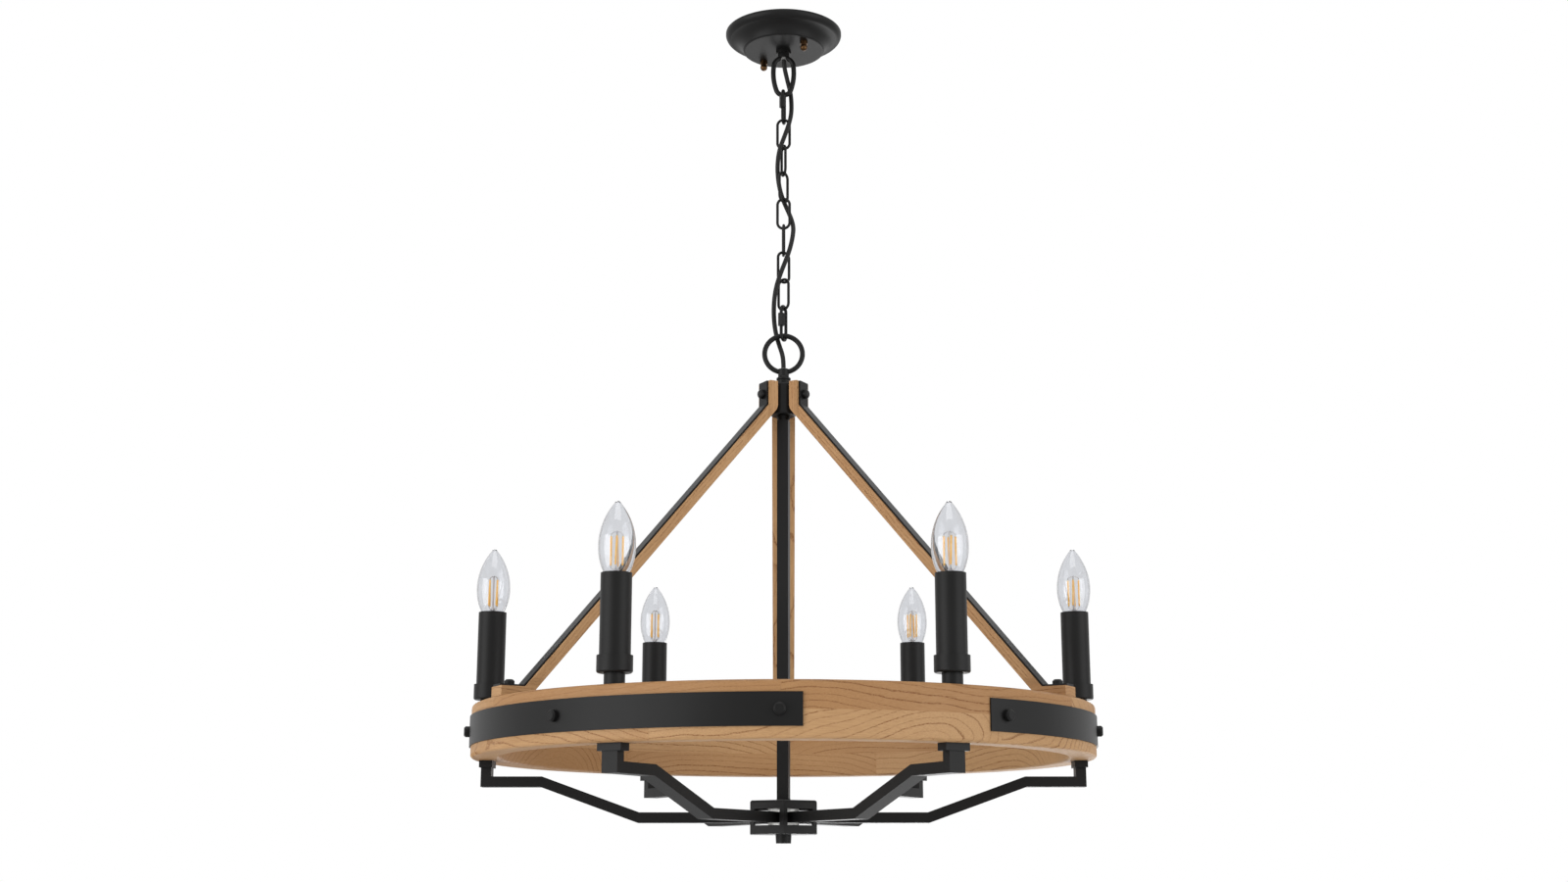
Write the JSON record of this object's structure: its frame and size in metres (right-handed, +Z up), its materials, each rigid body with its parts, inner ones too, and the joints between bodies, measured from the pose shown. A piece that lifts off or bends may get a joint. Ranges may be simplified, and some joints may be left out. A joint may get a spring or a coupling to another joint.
{
  "type": "wagon wheel chandelier",
  "caption": "Wooden wheel on bent wooden struts with black straps, hung by a chain and cord from a ceiling canopy, with candle lamps on arms under the rim.",
  "frame": {"origin": "centre of the ceiling bar's top face, on the ceiling plane above the middle of the wheel", "axes": "+Z up, -Y towards the front of the picture's view, +X to its right"},
  "size_m": [0.647, 0.6487, 0.8947],
  "materials": {
    "black_metal": "matte black powder coat",
    "inner_steel": "zinc plated",
    "aged_brass": "dark aged brass",
    "pale_plastic": "moulded, white",
    "cord_jacket": "smooth black cord",
    "light_wood": "clear matte lacquer, open grain",
    "clear_glass": "clear, thin",
    "bulb_metal": "nickel cap with amber filaments"
  },
  "bodies": {
    "ceiling": {"canopy": "black_metal", "ceiling_bar": "inner_steel", "stud_bar": "inner_steel", "canopy_studs": "aged_brass", "canopy_ball_nuts": "aged_brass", "canopy_nipple": "inner_steel", "canopy_lock_nut": "inner_steel", "canopy_loop": "black_metal", "canopy_bushing": "pale_plastic", "terminal_block": "pale_plastic", "cord": "cord_jacket"},
    "top_quick_link": {"top_quick_link": "black_metal"},
    "top_nut": {"top_quick_link_nut": "black_metal"},
    "chain_link_1": {"chain_link_1": "black_metal"},
    "chain_link_2": {"chain_link_2": "black_metal"},
    "chain_link_3": {"chain_link_3": "black_metal"},
    "chain_link_4": {"chain_link_4": "black_metal"},
    "chain_link_5": {"chain_link_5": "black_metal"},
    "chain_link_6": {"chain_link_6": "black_metal"},
    "chain_link_7": {"chain_link_7": "black_metal"},
    "bottom_quick_link": {"bottom_quick_link": "black_metal"},
    "bottom_nut": {"bottom_quick_link_nut": "black_metal"},
    "wheel_frame": {"hanging_ring": "black_metal", "ring_bushing": "pale_plastic", "hub_washer": "black_metal", "strut_hub": "black_metal", "hub_lock_nut": "black_metal", "hub_nipple": "inner_steel", "wooden_struts": "light_wood", "strut_straps": "black_metal", "strut_bolts": "black_metal", "wheel_upper_layer": "light_wood", "wheel_lower_layer": "light_wood", "rim_bands": "black_metal", "rim_bolts": "black_metal", "centre_stem": "black_metal", "stem_plugs": "inner_steel", "lower_hub": "black_metal", "hub_core": "inner_steel", "hub_base_plate": "black_metal", "finial": "black_metal", "candle_arms": "black_metal", "arm_caps": "black_metal", "candle_nipples": "inner_steel", "neck_tubes": "black_metal", "candle_cups": "black_metal", "candle_sleeves": "black_metal", "lamp_holders": "pale_plastic"},
    "bulb_1": {"bulb_glass_1": "clear_glass", "bulb_cap_1": "bulb_metal"},
    "bulb_2": {"bulb_glass_2": "clear_glass", "bulb_cap_2": "bulb_metal"},
    "bulb_3": {"bulb_glass_3": "clear_glass", "bulb_cap_3": "bulb_metal"},
    "bulb_4": {"bulb_glass_4": "clear_glass", "bulb_cap_4": "bulb_metal"},
    "bulb_5": {"bulb_glass_5": "clear_glass", "bulb_cap_5": "bulb_metal"},
    "bulb_6": {"bulb_glass_6": "clear_glass", "bulb_cap_6": "bulb_metal"}
  },
  "joints": [
    {"name": "top_quick_link_swing", "type": "hinge", "parent": "ceiling", "child": "top_quick_link", "pos_m": [0, 0, -0.07364], "axis": [1, 0, 0], "range_deg": [-20, 20], "deforming": ["cord"]},
    {"name": "chain_link_1_swing", "type": "hinge", "parent": "top_quick_link", "child": "chain_link_1", "pos_m": [0, 0, -0.10694], "axis": [-0.1736, -0.9848, 0], "range_deg": [-20, 20], "deforming": ["cord"]},
    {"name": "chain_link_2_swing", "type": "hinge", "parent": "chain_link_1", "child": "chain_link_2", "pos_m": [0, 0, -0.13779], "axis": [1, 0, 0], "range_deg": [-20, 20], "deforming": ["cord"]},
    {"name": "chain_link_3_swing", "type": "hinge", "parent": "chain_link_2", "child": "chain_link_3", "pos_m": [0, 0, -0.16889], "axis": [-0.309, 0.9511, 0], "range_deg": [-20, 20], "deforming": ["cord"]},
    {"name": "chain_link_4_swing", "type": "hinge", "parent": "chain_link_3", "child": "chain_link_4", "pos_m": [0, 0, -0.19999], "axis": [0.6561, 0.7547, 0], "range_deg": [-20, 20], "deforming": ["cord"]},
    {"name": "chain_link_5_swing", "type": "hinge", "parent": "chain_link_4", "child": "chain_link_5", "pos_m": [0, 0, -0.23109], "axis": [0.9903, -0.1392, 0], "range_deg": [-20, 20], "deforming": ["cord"]},
    {"name": "chain_link_6_swing", "type": "hinge", "parent": "chain_link_5", "child": "chain_link_6", "pos_m": [0, 0, -0.26219], "axis": [-0.0698, 0.9976, 0], "range_deg": [-20, 20], "deforming": ["cord"]},
    {"name": "chain_link_7_swing", "type": "hinge", "parent": "chain_link_6", "child": "chain_link_7", "pos_m": [0, 0, -0.29329], "axis": [0.891, 0.454, 0], "range_deg": [-20, 20], "deforming": ["cord"]},
    {"name": "bottom_quick_link_swing", "type": "hinge", "parent": "chain_link_7", "child": "bottom_quick_link", "pos_m": [0, 0, -0.32439], "axis": [0.7986, -0.6018, 0], "range_deg": [-20, 20], "deforming": ["cord"]},
    {"name": "wheel_frame_swing", "type": "hinge", "parent": "bottom_quick_link", "child": "wheel_frame", "pos_m": [0, 0, -0.35894], "axis": [0, 1, 0], "range_deg": [-15, 15], "deforming": ["cord"]},
    {"name": "top_nut_slide", "type": "slide", "parent": "top_quick_link", "child": "top_nut", "axis": [0, 0, 1], "range_m": [-0.0092, 0]},
    {"name": "bottom_nut_slide", "type": "slide", "parent": "bottom_quick_link", "child": "bottom_nut", "axis": [0, 0, 1], "range_m": [-0.006, 0]},
    {"name": "bulb_1_lift", "type": "slide", "parent": "wheel_frame", "child": "bulb_1", "axis": [0, 0, 1], "range_m": [0, 0.026]},
    {"name": "bulb_2_lift", "type": "slide", "parent": "wheel_frame", "child": "bulb_2", "axis": [0, 0, 1], "range_m": [0, 0.026]},
    {"name": "bulb_3_lift", "type": "slide", "parent": "wheel_frame", "child": "bulb_3", "axis": [0, 0, 1], "range_m": [0, 0.026]},
    {"name": "bulb_4_lift", "type": "slide", "parent": "wheel_frame", "child": "bulb_4", "axis": [0, 0, 1], "range_m": [0, 0.026]},
    {"name": "bulb_5_lift", "type": "slide", "parent": "wheel_frame", "child": "bulb_5", "axis": [0, 0, 1], "range_m": [0, 0.026]},
    {"name": "bulb_6_lift", "type": "slide", "parent": "wheel_frame", "child": "bulb_6", "axis": [0, 0, 1], "range_m": [0, 0.026]}
  ]
}
